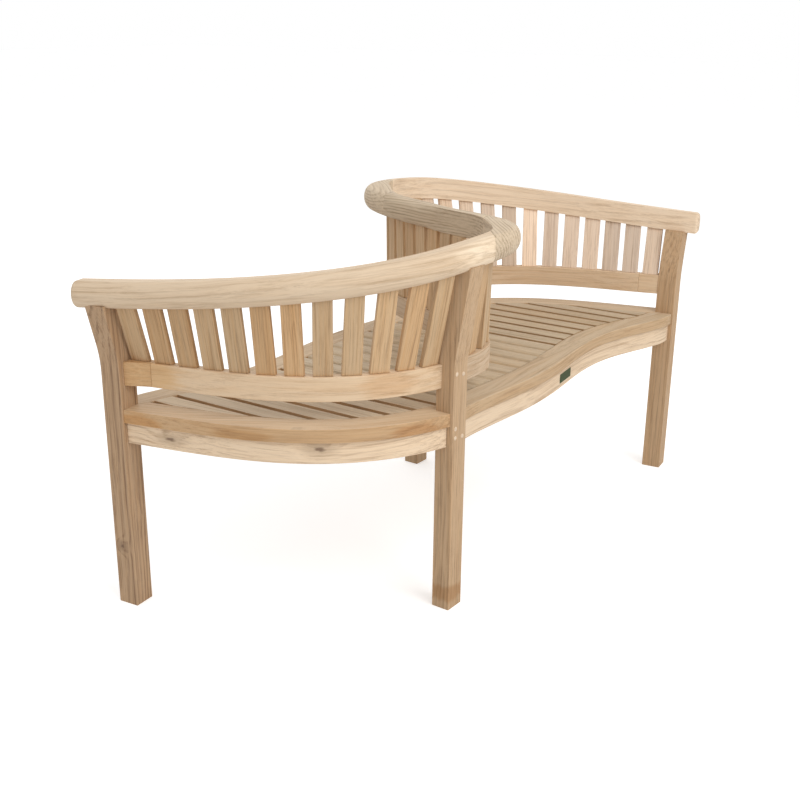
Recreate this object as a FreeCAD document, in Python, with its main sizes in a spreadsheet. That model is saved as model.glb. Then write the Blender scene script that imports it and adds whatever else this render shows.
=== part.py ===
import FreeCAD, Part
import math
import os

from FreeCAD import Placement, Rotation, Vector

# A companion seat: two seats that face opposite ways, joined in an S.
# The origin is on the floor under the middle of the crossing, +Z is up and the long side lies along X.
# The far half is the near half turned by half a turn about Z.

doc = FreeCAD.newDocument("CompanionSeat")

# Driving dimensions, in millimetres and degrees.
SIZES = (
    ("seat_height", 445),
    ("leg_size", 48),
    ("end_leg_x", 693),
    ("end_leg_y", 310),
    ("end_leg_turn", 5.5),
    ("middle_leg_x", 324),
    ("middle_leg_y", 252),
    ("middle_leg_turn", -2),
    ("middle_leg_depth", 42),
    ("end_flare_start", 518),
    ("end_flare_angle", 15),
    ("end_flare_radius", 230),
    ("middle_flare_start", 532),
    ("middle_flare_angle", 9.5),
    ("middle_flare_radius", 180),
    ("leg_cope", 7),
    ("rail_seat_depth", 2),
    ("rim_width", 60),
    ("rim_thickness", 28),
    ("rim_overhang", 7),
    ("apron_height", 46),
    ("apron_thickness", 24),
    ("low_rail_bottom", 494),
    ("low_rail_height", 50),
    ("low_rail_thickness", 25),
    ("low_rail_inset", 14),
    ("block_inset", 2),
    ("block_thickness", 34),
    ("block_length", 87),
    ("low_rail_end_trim", 12),
    ("top_rail_width", 38),
    ("top_rail_height", 54),
    ("top_rail_round", 18),
    ("bend_extra_width", 27),
    ("back_slat_thickness", 13),
    ("back_slat_top_width", 43),
    ("back_slat_foot_width", 42),
    ("back_slat_shift", 7),
    ("back_slat_count", 12),
    ("crossing_slat_count", 15),
    ("crossing_slat_top_width", 43),
    ("crossing_slat_foot_width", 39),
    ("crossing_slat_first", 29),
    ("seat_slat_pitch", 53.8),
    ("seat_slat_gap", 8),
    ("seat_slat_thickness", 20),
    ("seat_slat_count", 25),
    ("seat_slat_side_count", 8),
    ("seat_slat_middle", -13),
    ("seat_slat_shift", 33),
    ("bearer_width", 26),
    ("bearer_height", 45),
    ("bearer_y", 92),
    ("bearer_reach", 760),
    ("peg_diameter", 9),
    ("peg_sides", 12),
    ("peg_length", 14),
    ("peg_proud", 0.6),
)

# Plan curves of the near half. The back curve is the outer face of the left seat's back apron, from the
# end leg to the middle leg. The front curve is the outer face of the right seat's front apron, from the
# middle leg to the far end leg.
BACK_POLES = ((-707, 295), (-660, 98), (-644, -62), (-525, -210), (-338, -261))
FRONT_POLES = ((-310, -265), (-146, -258), (19, -303), (184, -351), (348, -92), (513, -364), (678, -325))

# Middle line of the top rail, from its near end to the crossing. It rises all the way to the bend.
TOP_RAIL_POLES = (
    (-745, 359, 681),
    (-709, 201, 692),
    (-664, 18, 710),
    (-562, -164, 734),
    (-433, -276, 757),
    (-286, -299, 770),
    (-110, -299, 771),
    (-26, -95, 764),
)

# Middle lines of the crossing, from the middle leg to the centre: the low rail, and the row of slat heads
# under the top rail.
CROSSING_POLES = ((-326, -245), (-259, -244), (-204, -247), (-135, -226), (-93, -164), (-47, -81))
SLAT_HEAD_POLES = ((-326, -296), (-262, -279), (-196, -258), (-138, -226), (-93, -164), (-44, -90))

# Outlines are cut as chains of tangent arcs: the length of curve that each pair of arcs follows, and the
# sine of the angle under which a stretch counts as straight.
ARC_PAIR_LENGTH = 150
STRAIGHT = 0.0005

# Steps between the points through which an offset of a plan curve is drawn.
OFFSET_STEPS = 14

# How far a leg's head leans out, as a share of the lean of a flare that is straight from its start.
FLARE_LEAN = 0.9

# Joints of the top rail: a point on the joint, and the angle of the cut seen from above. The regions that
# part the pieces reach past the rail's sides along each joint, and lie well outside it elsewhere.
BEND_JOINT = (-257, -297, 43)
CROSSING_JOINT = (-74, -178, 13)
JOINT_REACH = 75
ARC_SIDE = ((-560, 700), (-900, 700), (-900, -500))
BEND_SIDE = (0, -420)

# Where the rail swells towards the seat's back at the bend, as shares of its middle line's parameter.
BEND_SHARE = 0.3575
BEND_HALF_SHARE = 0.062

# Half of the stretch in which the rail's round side changes from one side to the other, around its middle.
CHANGE_HALF_SHARE = 0.05

# Stretches of the rail that are lofted as one: first share, last share, steps between sections, the facets of
# the section's left and right side, and the highest degree of the surface.
NEAR_STRETCH = (0, 0.44, 24, (1, 6), 5)
CROSSING_STRETCH = (0.37, 0.63, 20, (6, 6), 3)


def make_sheet():
    sheet = doc.addObject("Spreadsheet::Sheet", "Sizes")
    for row, (name, value) in enumerate(SIZES, start=1):
        sheet.set("A%d" % row, name)
        sheet.set("B%d" % row, str(value))
        sheet.setAlias("B%d" % row, name)
    doc.recompute()
    return sheet


SHEET = make_sheet()


def size(name):
    return float(SHEET.get(name))


def turned(point):
    """The point of the far half that answers to a point of the near half."""
    return Vector(-point.x, -point.y, point.z)


HALF_TURN = Rotation(Vector(0, 0, 1), 180)


# Curves

def bezier(poles):
    curve = Part.BezierCurve()
    curve.setPoles([Vector(x, y, 0) for x, y in poles])
    return curve.toBSpline()


def through_centre(poles):
    """A spline over the near poles, the centre and the same poles turned to the far half."""
    near = [Vector(*(tuple(pole) + (0,))[:3]) for pole in poles]
    last = near[-1]
    middle = Vector(0, 0, last.z)
    far = [turned(point) for point in reversed(near)]
    curve = Part.BSplineCurve()
    curve.buildFromPoles(near + [middle] + far, False, 3)
    return curve


def left_normal(curve, parameter):
    tangent = curve.tangent(parameter)[0]
    return Vector(-tangent.y, tangent.x, 0).normalize()


def offset_curve(curve, distance, first=None, last=None):
    """A spline that keeps a distance to the left of a plan curve, between two of its parameters."""
    first = curve.FirstParameter if first is None else first
    last = curve.LastParameter if last is None else last
    points = []
    for step in range(OFFSET_STEPS + 1):
        parameter = first + (last - first) * step / OFFSET_STEPS
        points.append(curve.value(parameter) + left_normal(curve, parameter) * distance)
    result = Part.BSplineCurve()
    result.interpolate(points)
    return result


def parameter_at(curve, length):
    """The curve's parameter at a length from its start."""
    return curve.parameterAtDistance(length, curve.FirstParameter)


def flat(point):
    return Vector(point.x, point.y, 0)


BACK = bezier(BACK_POLES)
FRONT = bezier(FRONT_POLES)
TOP_RAIL = through_centre(TOP_RAIL_POLES)
CROSSING = through_centre(CROSSING_POLES)
SLAT_HEADS = through_centre(SLAT_HEAD_POLES)
END_LEG = Vector(-size("end_leg_x"), size("end_leg_y"), 0)
MIDDLE_LEG = Vector(-size("middle_leg_x"), -size("middle_leg_y"), 0)


def rail_point(point):
    """The point of the top rail's middle line that is nearest to a plan point."""
    height = TOP_RAIL_POLES[-1][2]
    for _ in range(3):
        nearest = TOP_RAIL.value(TOP_RAIL.parameter(Vector(point.x, point.y, height)))
        height = nearest.z
    return nearest


def rail_underside(point):
    return rail_point(point).z - size("top_rail_height") / 2


def arc_from(start, tangent, end):
    """The arc that leaves a start along a tangent and reaches an end."""
    chord = end - start
    along = Vector(chord).normalize()
    sideways = tangent - along * tangent.dot(along)
    if sideways.Length < STRAIGHT:
        return Part.LineSegment(start, end)
    sagitta = chord.Length / 2 * math.tan(tangent.getAngle(along) / 2)
    return Part.Arc(start, (start + end) / 2 + sideways.normalize() * sagitta, end)


def arc_chain(curve):
    """Tangent arcs that follow a plan curve: two between each pair of its points."""
    pairs = max(2, round(curve.length() / ARC_PAIR_LENGTH))
    span = (curve.LastParameter - curve.FirstParameter) / pairs
    places = [curve.FirstParameter + span * index for index in range(pairs + 1)]
    arcs = []
    for first, last in zip(places, places[1:]):
        start, end = curve.value(first), curve.value(last)
        leaving, arriving = curve.tangent(first)[0], curve.tangent(last)[0]
        chord = end - start
        both = leaving + arriving
        turn = 2 * (1 - leaving.dot(arriving))
        lean = chord.dot(both)
        if turn < STRAIGHT ** 2:
            reach = chord.Length / 4
        else:
            reach = (math.sqrt(lean ** 2 + turn * chord.dot(chord)) - lean) / turn
        meeting = (start + leaving * reach + end - arriving * reach) / 2
        arcs.append(arc_from(start, leaving, meeting))
        arcs.append(reversed_arc(arc_from(end, -arriving, meeting)))
    return arcs


def reversed_arc(edge):
    if isinstance(edge, Part.LineSegment):
        return Part.LineSegment(edge.EndPoint, edge.StartPoint)
    middle = edge.value((edge.FirstParameter + edge.LastParameter) / 2)
    return Part.Arc(edge.EndPoint, middle, edge.StartPoint)


# Building blocks

def origin_plane(body, role):
    for feature in body.Origin.OriginFeatures:
        if feature.Role == role:
            return feature
    raise ValueError("no plane " + role)


def padded_body(name, role, edges, length, both_ways=False):
    """A body with one padded outline. The pad's length is an expression on the sheet."""
    body = doc.addObject("PartDesign::Body", name)
    sketch = body.newObject("Sketcher::SketchObject", name + "_outline")
    sketch.AttachmentSupport = (origin_plane(body, role), [""])
    sketch.MapMode = "FlatFace"
    for edge in edges:
        sketch.addGeometry(edge, False)
    pad = body.newObject("PartDesign::Pad", name + "_pad")
    pad.Profile = sketch
    pad.setExpression("Length", length)
    if both_ways:
        pad.SideType = "Symmetric"
    return body


def place(item, height=None, half_turn=False):
    if half_turn:
        item.Placement = Placement(Vector(0, 0, 0), HALF_TURN)
    if height:
        item.setExpression("Placement.Base.z", height)


def closed_outline(parts):
    """Edges of a closed outline: curves as tangent arcs, with straight lines over the gaps between them."""
    edges = []
    starts = [item if isinstance(item, Vector) else item.StartPoint for item in parts]
    ends = [item if isinstance(item, Vector) else item.EndPoint for item in parts]
    for index, item in enumerate(parts):
        if not isinstance(item, Vector):
            edges += arc_chain(item)
        following = starts[(index + 1) % len(parts)]
        if (following - ends[index]).Length > 0.01:
            edges.append(Part.LineSegment(ends[index], following))
    return edges


def reversed_curve(curve):
    result = curve.copy()
    result.reverse()
    return result


def cut(label, base, tool):
    result = doc.addObject("Part::Cut", label)
    result.Base = base
    result.Tool = tool
    result.Label = label
    return result


NODES = []


def node(item, label):
    item.Label = label
    NODES.append(item)
    return item


# Legs

def leg_side(foot, start, radius, angle, top):
    """One side of a leg's profile: straight up, an arc to the left, then straight to the top."""
    bent = radius * (1 - math.cos(angle))
    climb = radius * math.sin(angle)
    half_bent = radius * (1 - math.cos(angle / 2))
    half_climb = radius * math.sin(angle / 2)
    bend_end = Vector(foot - bent, start + climb, 0)
    head = Vector(bend_end.x - (top - bend_end.y) * math.tan(angle), top, 0)
    return [
        Part.LineSegment(Vector(foot, 0, 0), Vector(foot, start, 0)),
        Part.Arc(Vector(foot, start, 0), Vector(foot - half_bent, start + half_climb, 0), bend_end),
        Part.LineSegment(bend_end, head),
    ]


def leg_blank(name, kind, depth, breadth, top):
    """A leg sawn from a plank: it keeps its depth through the flare, and its breadth is the pad's length."""
    half = size(depth) / 2
    start = size(kind + "_flare_start")
    radius = size(kind + "_flare_radius")
    angle = math.radians(size(kind + "_flare_angle"))
    outer = leg_side(-half, start, radius, angle, top)
    inner = leg_side(half, start, radius + 2 * half, angle, top)
    ends = [
        Part.LineSegment(outer[-1].EndPoint, inner[-1].EndPoint),
        Part.LineSegment(inner[0].StartPoint, outer[0].StartPoint),
    ]
    return padded_body(name, "XZ_Plane", outer + inner + ends, "Sizes." + breadth, both_ways=True)


def half_turned(placement):
    return Placement(Vector(0, 0, 0), HALF_TURN).multiply(placement)


def head_tool(name, centre, half_turn):
    """A block over a leg's head, so that the flat of the rail's underside is let a little into the leg."""
    on_rail = rail_point(centre)
    tangent = TOP_RAIL.tangent(TOP_RAIL.parameter(on_rail))[0]
    on_rail.z += size("rail_seat_depth") - size("top_rail_height") / 2
    heading = math.degrees(math.atan2(tangent.y, tangent.x))
    slope = math.degrees(math.asin(tangent.z))
    span = size("leg_size") * 5
    turn = Rotation(Vector(0, 0, 1), heading) * Rotation(Vector(0, 1, 0), -slope)
    flat_edge = size("top_rail_width") / 2 - size("top_rail_round")
    placement = Placement(on_rail + turn.multVec(Vector(-span / 2, -flat_edge, 0)), turn)
    tool = doc.addObject("Part::Box", name)
    tool.Length = span
    tool.Width = span
    tool.Height = span
    tool.Placement = half_turned(placement) if half_turn else placement
    return tool


def make_leg(name, kind, centre, sizes, axis_turn, top_rail, pegs, half_turn):
    """A leg, cut under the flat of the top rail, coped to its round side and bored for its pegs.

    The leg before its pegs' holes is given back, to cut the boards that meet it.
    """
    angle = math.radians(size(kind + "_flare_angle"))
    reach = (rail_underside(centre) - size(kind + "_flare_start")) * math.tan(angle) * FLARE_LEAN
    lean = Rotation(Vector(0, 0, 1), axis_turn).multVec(Vector(-reach, 0, 0))
    head = centre + lean
    top = rail_underside(head) + size("leg_cope")
    blank = leg_blank(name + "_blank", kind, sizes[0], sizes[1], top)
    placement = Placement(centre, Rotation(Vector(0, 0, 1), size(kind + "_leg_turn") + axis_turn))
    blank.Placement = half_turned(placement) if half_turn else placement
    flat_cut = cut(name + "_flat", blank, head_tool(name + "_head", head, half_turn))
    coped = cut(name + "_coped", flat_cut, top_rail)
    if kind == "middle":
        node(cut(name + "_bored", coped, pegs), name)
    else:
        node(coped, name)
    return coped


def make_legs(top_rail, pegs):
    legs = []
    for side, half_turn in (("near", False), ("far", True)):
        legs.append(make_leg(
            side + "_end_leg", "end", END_LEG, ("leg_size", "leg_size"), 0, top_rail, pegs, half_turn))
        legs.append(make_leg(
            side + "_middle_leg", "middle", MIDDLE_LEG, ("middle_leg_depth", "leg_size"), 90, top_rail,
            pegs, half_turn))
    return legs


# Top rail

def bump(share, centre):
    """A smooth swell from 0 to 1 and back, around a share of the rail."""
    away = abs(share - centre) / BEND_HALF_SHARE
    return math.cos(away * math.pi / 2) ** 2 if away < 1 else 0.0


def blend(share):
    """0 on the near half of the rail, 1 on the far half, and a smooth change in the crossing."""
    along = min(max((share - 0.5 + CHANGE_HALF_SHARE) / (2 * CHANGE_HALF_SHARE), 0), 1)
    return along * along * (3 - 2 * along)


def rail_section(share, left_facets, right_facets):
    """The rail's section: a half-round outer side in narrow facets, and a flat side to the seat's back."""
    length = TOP_RAIL.LastParameter - TOP_RAIL.FirstParameter
    parameter = TOP_RAIL.FirstParameter + length * share
    centre = TOP_RAIL.value(parameter)
    left = left_normal(TOP_RAIL, parameter)
    half = size("top_rail_width") / 2
    tall = size("top_rail_height") / 2
    bulge = size("top_rail_round")
    swell = size("bend_extra_width")
    left_reach = half + swell * bump(share, BEND_SHARE)
    right_reach = half + swell * bump(share, 1 - BEND_SHARE)

    def side(direction, reach, depth, facets):
        """Points of one side, from the top to the bottom: a half ellipse that bulges by its depth."""
        points = []
        for index in range(facets + 1):
            angle = math.pi * index / facets
            out = reach - depth + depth * math.sin(angle)
            points.append(centre + direction * out + Vector(0, 0, tall * math.cos(angle)))
        return points

    right_side = side(-left, right_reach, bulge * (1 - blend(share)), right_facets)
    left_side = side(left, left_reach, bulge * blend(share), left_facets)
    outline = right_side + left_side[::-1]
    return Part.makePolygon(outline + outline[:1])


def rail_blank(name, stretch, half_turn=False):
    """A stretch of the rail, lofted smoothly through its sections."""
    first, last, steps, facets, degree = stretch
    shares = [first + (last - first) * index / steps for index in range(steps + 1)]
    sections = [rail_section(share, *facets) for share in shares]
    blank = doc.addObject("Part::Feature", name)
    blank.Shape = Part.makeLoft(sections, True, False, False, degree)
    if half_turn:
        blank.Placement = Placement(Vector(0, 0, 0), HALF_TURN)
    return blank


def vertical_prism(corners):
    """A prism over a plan region, from the floor to well above the rail."""
    points = [Vector(x, y, 0) for x, y in corners]
    face = Part.Face(Part.makePolygon(points + points[:1]))
    return face.extrude(Vector(0, 0, 2 * size("low_rail_bottom")))


def joint_line(joint):
    """Two points on a slanting joint, past one side of the rail and past the other."""
    x, y, angle = joint
    along = Vector(math.cos(math.radians(angle)), math.sin(math.radians(angle)), 0) * JOINT_REACH
    return (x - along.x, y - along.y), (x + along.x, y + along.y)


def make_top_rail():
    """The five pieces of the top rail, cut from three lofted blanks at the slanting joints."""
    near = rail_blank("near_rail_blank", NEAR_STRETCH)
    middle = rail_blank("middle_rail_blank", CROSSING_STRETCH)
    far = rail_blank("far_rail_blank", NEAR_STRETCH, half_turn=True)
    bend_out, bend_in = joint_line(BEND_JOINT)
    crossing_in, crossing_out = joint_line(CROSSING_JOINT)
    far_in = (-crossing_in[0], -crossing_in[1])
    far_out = (-crossing_out[0], -crossing_out[1])
    arc_region = [bend_out, bend_in, *ARC_SIDE]
    bend_region = [bend_out, BEND_SIDE, crossing_out, crossing_in, bend_in]
    crossing_region = [crossing_in, crossing_out, far_in, far_out]
    pieces = (
        ("near_arc_top_rail", near, arc_region, False),
        ("near_bend_top_rail", near, bend_region, False),
        ("crossing_top_rail", middle, crossing_region, False),
        ("far_bend_top_rail", far, bend_region, True),
        ("far_arc_top_rail", far, arc_region, True),
    )
    for name, blank, region, half_turn in pieces:
        corners = [(-x, -y) for x, y in region] if half_turn else region
        piece = doc.addObject("Part::Feature", name)
        piece.Shape = blank.Shape.common(vertical_prism(corners)).Solids[0]
        node(piece, name)
    return compound("rail_blanks", [near, far])


# Boards that follow the plan curves

def make_board(name, outline, height, thickness, half_turn, legs):
    """A flat board with a curved outline, cut away where the legs pass."""
    body = padded_body(name + "_blank", "XY_Plane", closed_outline(outline), thickness)
    place(body, height, half_turn)
    return node(cut(name + "_notched", body, legs), name)


def crossing_point(first, second):
    return first.intersectCC(second)[0]


def plan_point(point):
    return Vector(point.X, point.Y, 0)


def trimmed(curve, first, last):
    """The stretch of a curve between the places nearest to two points."""
    result = curve.copy()
    result.segment(curve.parameter(first), curve.parameter(last))
    return result


def make_rims(legs):
    outer = -size("rim_overhang")
    inner = size("rim_width") - size("rim_overhang")
    back_outer = offset_curve(BACK, outer)
    back_inner = offset_curve(BACK, inner)
    front_outer = offset_curve(FRONT, outer)
    front_inner = offset_curve(FRONT, inner)
    far_end = turned(END_LEG)
    middle_corner = back_inner.EndPoint
    far_back_inner = back_inner.copy()
    far_back_inner.rotate(Placement(Vector(0, 0, 0), HALF_TURN))
    far_corner = plan_point(crossing_point(front_inner, far_back_inner))
    near_corner = turned(far_corner)
    back_inner = trimmed(back_inner, near_corner, middle_corner)
    front_inner = trimmed(front_inner, front_inner.StartPoint, far_corner)
    back = [back_outer, MIDDLE_LEG, reversed_curve(back_inner), END_LEG]
    front = [front_outer, far_end, reversed_curve(front_inner), middle_corner, MIDDLE_LEG]
    boards = (
        ("left_seat_back_rim", back, False),
        ("right_seat_front_rim", front, False),
        ("right_seat_back_rim", back, True),
        ("left_seat_front_rim", front, True),
    )
    rims = []
    for name, outline, half_turn in boards:
        rims.append(make_board(
            name, outline, "Sizes.seat_height - Sizes.rim_thickness", "Sizes.rim_thickness", half_turn, legs))
    return compound("all_rims", rims), back_inner, front_inner


def make_aprons(legs):
    thickness = size("apron_thickness")
    boards = (
        ("left_seat_back_apron", BACK, False),
        ("right_seat_front_apron", FRONT, False),
        ("right_seat_back_apron", BACK, True),
        ("left_seat_front_apron", FRONT, True),
    )
    for name, curve, half_turn in boards:
        outline = [offset_curve(curve, 0), reversed_curve(offset_curve(curve, thickness))]
        make_board(
            name, outline, "Sizes.seat_height - Sizes.rim_thickness - Sizes.apron_height",
            "Sizes.apron_height", half_turn, legs)


def make_low_rails(legs):
    inset = size("low_rail_inset")
    depth = size("low_rail_thickness")
    whole = BACK.length()
    joint = parameter_at(BACK, size("block_length"))
    end = parameter_at(BACK, whole - size("low_rail_end_trim"))
    start = BACK.FirstParameter
    block_near = size("block_inset")
    block_far = block_near + size("block_thickness")
    block = [
        offset_curve(BACK, block_near, start, joint),
        reversed_curve(offset_curve(BACK, block_far, start, joint)),
    ]
    long_rail = [
        offset_curve(BACK, inset, joint, end),
        reversed_curve(offset_curve(BACK, inset + depth, joint, end)),
    ]
    crossing = [offset_curve(CROSSING, -depth / 2), reversed_curve(offset_curve(CROSSING, depth / 2))]
    boards = (
        ("near_low_rail_block", block, False),
        ("near_low_rail", long_rail, False),
        ("crossing_low_rail", crossing, False),
        ("far_low_rail", long_rail, True),
        ("far_low_rail_block", block, True),
    )
    for name, outline, half_turn in boards:
        make_board(name, outline, "Sizes.low_rail_bottom", "Sizes.low_rail_height", half_turn, legs)


# Back slats

def slat_end(curve, parameter, shift, height_at):
    """Middle of a slat's end, beside a curve, and the curve's direction there."""
    left = left_normal(curve, parameter)
    middle = flat(curve.value(parameter)) + left * shift
    middle.z = height_at(middle)
    return middle, Vector(left.y, -left.x, 0)


def slat_places(curve, first_point, last_point, count, margin):
    """Parameters of evenly spaced slats between two points of a curve, with a margin at both ends."""
    first = curve.parameter(first_point)
    last = curve.parameter(last_point)
    pitch = (curve.length(first, last) - 2 * margin) / count
    return [curve.parameterAtDistance(margin + pitch * (index + 0.5), first) for index in range(count)]


def slat_solid(foot, foot_way, head, head_way, foot_width, head_width):
    """A flat tapered slat between its two ends. Its head is sawn to the slope of the rail."""
    along = (foot_way + head_way).normalize()
    through = (head - foot).cross(along).normalize() * (size("back_slat_thickness") / 2)
    through.z = 0
    corners = []
    for sideways in (-1, 1):
        low = foot + along * (sideways * foot_width / 2)
        high = head + along * (sideways * head_width / 2)
        climb = (rail_underside(high) - low.z) / (high.z - low.z)
        high = low + (high - low) * climb
        corners.append((low, high))
    (left_low, left_high), (right_low, right_high) = corners
    outlines = []
    for side in (-through, through):
        outlines.append([point + side for point in (left_low, right_low, right_high, left_high)])
    front, back = outlines
    sides = [[front[i], front[i - 1], back[i - 1], back[i]] for i in range(4)]
    faces = [Part.Face(Part.makePolygon(points + points[:1])) for points in [front, back] + sides]
    solid = Part.makeSolid(Part.makeShell(faces))
    solid.fix(0.001, 0.001, 0.001)
    return solid


def foot_height(_):
    """The top of the low rail, which is level at every place."""
    return size("low_rail_bottom") + size("low_rail_height")


def arc_slats():
    """The slats of one curved back, from the end leg to the middle leg."""
    half_leg = size("leg_size") / 2
    count = int(size("back_slat_count"))
    foot_shift = size("low_rail_inset") + size("low_rail_thickness") / 2
    foot_line = offset_curve(BACK, foot_shift)
    leg_side_point = END_LEG + Vector(0, -half_leg, 0)
    feet = slat_places(
        foot_line,
        leg_side_point,
        MIDDLE_LEG + Vector(-half_leg, 0, 0),
        count, 0)
    heads = slat_places(
        TOP_RAIL,
        rail_point(leg_side_point + Vector(-size("leg_size"), 0, 0)),
        rail_point(MIDDLE_LEG + Vector(-half_leg, -size("middle_leg_depth"), 0)),
        count, 0)
    slats = []
    for foot_place, head_place in zip(feet, heads):
        foot, foot_way = slat_end(foot_line, foot_place, 0, foot_height)
        head, head_way = slat_end(TOP_RAIL, head_place, size("back_slat_shift"), rail_underside)
        slats.append(slat_solid(
            foot, foot_way, head, head_way, size("back_slat_foot_width"), size("back_slat_top_width")))
    return slats


def crossing_slats():
    """The slats of the crossing, from one middle leg to the other."""
    count = int(size("crossing_slat_count"))
    margin = size("crossing_slat_first")
    face = Vector(-size("middle_leg_x") + size("leg_size") / 2, CROSSING_POLES[0][1], 0)
    head_face = Vector(face.x, SLAT_HEAD_POLES[0][1], 0)
    feet = slat_places(CROSSING, face, turned(face), count, margin)
    heads = slat_places(SLAT_HEADS, head_face, turned(head_face), count, margin)
    slats = []
    for foot_place, head_place in zip(feet, heads):
        foot, foot_way = slat_end(CROSSING, foot_place, 0, foot_height)
        head, head_way = slat_end(SLAT_HEADS, head_place, 0, rail_underside)
        slats.append(slat_solid(
            foot, foot_way, head, head_way, size("crossing_slat_foot_width"),
            size("crossing_slat_top_width")))
    return slats


def make_back_slats():
    for side, half_turn in (("near", False), ("far", True)):
        for index, solid in enumerate(arc_slats(), start=1):
            slat = doc.addObject("Part::Feature", "%s_back_slat_%02d" % (side, index))
            slat.Shape = solid
            if half_turn:
                slat.Placement = Placement(Vector(0, 0, 0), HALF_TURN)
            node(slat, slat.Name)
    solids = crossing_slats()
    third = len(solids) // 3
    groups = ("near_bend_slats", "crossing_slats", "far_bend_slats")
    for index, name in enumerate(groups):
        group = doc.addObject("Part::Feature", name)
        group.Shape = Part.makeCompound(solids[index * third:(index + 1) * third])
        node(group, name)


# Seat

def ring(near_curves):
    """A closed outline of the whole seat: the near curves, and the same ones turned to the far half."""
    far_curves = []
    for curve in near_curves:
        copy = curve.copy()
        copy.rotate(Placement(Vector(0, 0, 0), HALF_TURN))
        far_curves.append(copy)
    return closed_outline(list(near_curves) + far_curves)


def common(label, base, tool):
    result = doc.addObject("Part::Common", label)
    result.Base = base
    result.Tool = tool
    return result


def compound(name, links):
    result = doc.addObject("Part::Compound", name)
    result.Links = links
    return result


def make_seat_slats(back_inner, front_inner):
    """One comb of parallel slats, whose ends meet the inner edges of the rim boards."""
    opening = padded_body(
        "seat_opening", "XY_Plane", ring([back_inner, front_inner]), "Sizes.seat_slat_thickness")
    place(opening, "Sizes.seat_height - Sizes.seat_slat_thickness")
    count = int(size("seat_slat_count"))
    first = int(size("seat_slat_middle"))
    boxes = []
    for index in range(count):
        box = doc.addObject("Part::Box", "seat_slat_%02d" % (index + 1))
        box.setExpression("Length", "Sizes.seat_slat_pitch - Sizes.seat_slat_gap")
        box.setExpression("Width", "Sizes.end_leg_y * 3")
        box.setExpression("Height", "Sizes.seat_slat_thickness")
        box.setExpression("Placement.Base.x", (
            "Sizes.seat_slat_shift + Sizes.seat_slat_pitch * %d"
            " - (Sizes.seat_slat_pitch - Sizes.seat_slat_gap) / 2" % (first + index)))
        box.setExpression("Placement.Base.y", "-Sizes.end_leg_y * 1.5")
        box.setExpression("Placement.Base.z", "Sizes.seat_height - Sizes.seat_slat_thickness")
        boxes.append(box)
    sides = int(size("seat_slat_side_count"))
    groups = (
        ("left_seat_slats", boxes[:sides]),
        ("middle_seat_slats", boxes[sides:-sides]),
        ("right_seat_slats", boxes[-sides:]),
    )
    for name, members in groups:
        node(common(name + "_fitted", compound(name + "_comb", members), opening), name)


def make_bearers(rims):
    """Two battens under the slats, that end against the aprons and are notched under the rims."""
    thickness = size("apron_thickness")
    inside = padded_body(
        "apron_inside", "XY_Plane", ring([offset_curve(BACK, thickness), offset_curve(FRONT, thickness)]),
        "Sizes.seat_height")
    for name, side in (("left_seat_bearer", 1), ("right_seat_bearer", -1)):
        batten = doc.addObject("Part::Box", name + "_batten")
        batten.setExpression("Length", "Sizes.bearer_reach * 2")
        batten.setExpression("Width", "Sizes.bearer_width")
        batten.setExpression("Height", "Sizes.bearer_height")
        batten.setExpression("Placement.Base.x", "-Sizes.bearer_reach")
        batten.setExpression(
            "Placement.Base.y", "Sizes.bearer_y * %d - Sizes.bearer_width / 2" % side)
        batten.setExpression(
            "Placement.Base.z", "Sizes.seat_height - Sizes.seat_slat_thickness - Sizes.bearer_height")
        fitted = common(name + "_fitted", batten, inside)
        node(cut(name + "_notched", fitted, rims), name)


# Pegs

# Places of the pegs on a middle leg's outer face: sideways from the leg's middle, and height.
PEG_PLACES = ((-14, 527), (10, 522), (-14, 411), (-14, 391), (11, 389))


def make_pegs():
    """Shaved pegs through the tenons of the rails and aprons, a hair proud of the middle legs."""
    leg_place = Placement(MIDDLE_LEG, Rotation(Vector(0, 0, 1), size("middle_leg_turn")))
    into_leg = Rotation(Vector(1, 0, 0), -90)
    pegs = []
    for half_turn in (False, True):
        for sideways, height in PEG_PLACES:
            peg = doc.addObject("Part::Prism", "peg_%02d" % (len(pegs) + 1))
            peg.setExpression("Polygon", "Sizes.peg_sides")
            peg.setExpression("Circumradius", "Sizes.peg_diameter / 2")
            peg.setExpression("Height", "Sizes.peg_length")
            start = -size("middle_leg_depth") / 2 - size("peg_proud")
            local = Placement(Vector(sideways, start, height), into_leg)
            placement = leg_place.multiply(local)
            peg.Placement = half_turned(placement) if half_turn else placement
            pegs.append(peg)
    return node(compound("tenon_pegs", pegs), "tenon_pegs")


def check_objects():
    for item in doc.Objects:
        if "Invalid" in item.State or "Error" in item.State:
            raise RuntimeError("failed object: " + item.Name)
    for item in NODES:
        if item.Shape.isNull() or not item.Shape.isValid() or not item.Shape.Solids:
            raise RuntimeError("bad shape: " + item.Label)


def export_nodes():
    os.makedirs("parts", exist_ok=True)
    for item in NODES:
        item.Shape.exportStep("parts/%s.step" % item.Label)
        box = item.Shape.BoundBox
        print("%-26s %2d solids %9.0f mm3  %6.0f x %6.0f x %6.0f" % (
            item.Label, len(item.Shape.Solids), item.Shape.Volume, box.XLength, box.YLength, box.ZLength))


def main():
    top_rail = make_top_rail()
    pegs = make_pegs()
    legs = make_legs(top_rail, pegs)
    all_legs = compound("all_legs", legs)
    rims, back_inner, front_inner = make_rims(all_legs)
    make_aprons(all_legs)
    make_low_rails(all_legs)
    make_back_slats()
    make_seat_slats(back_inner, front_inner)
    make_bearers(rims)
    doc.recompute()
    check_objects()
    export_nodes()


main()
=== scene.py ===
import bmesh
import bpy
import math
import numpy
import random
from mathutils import Matrix, Vector


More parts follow.
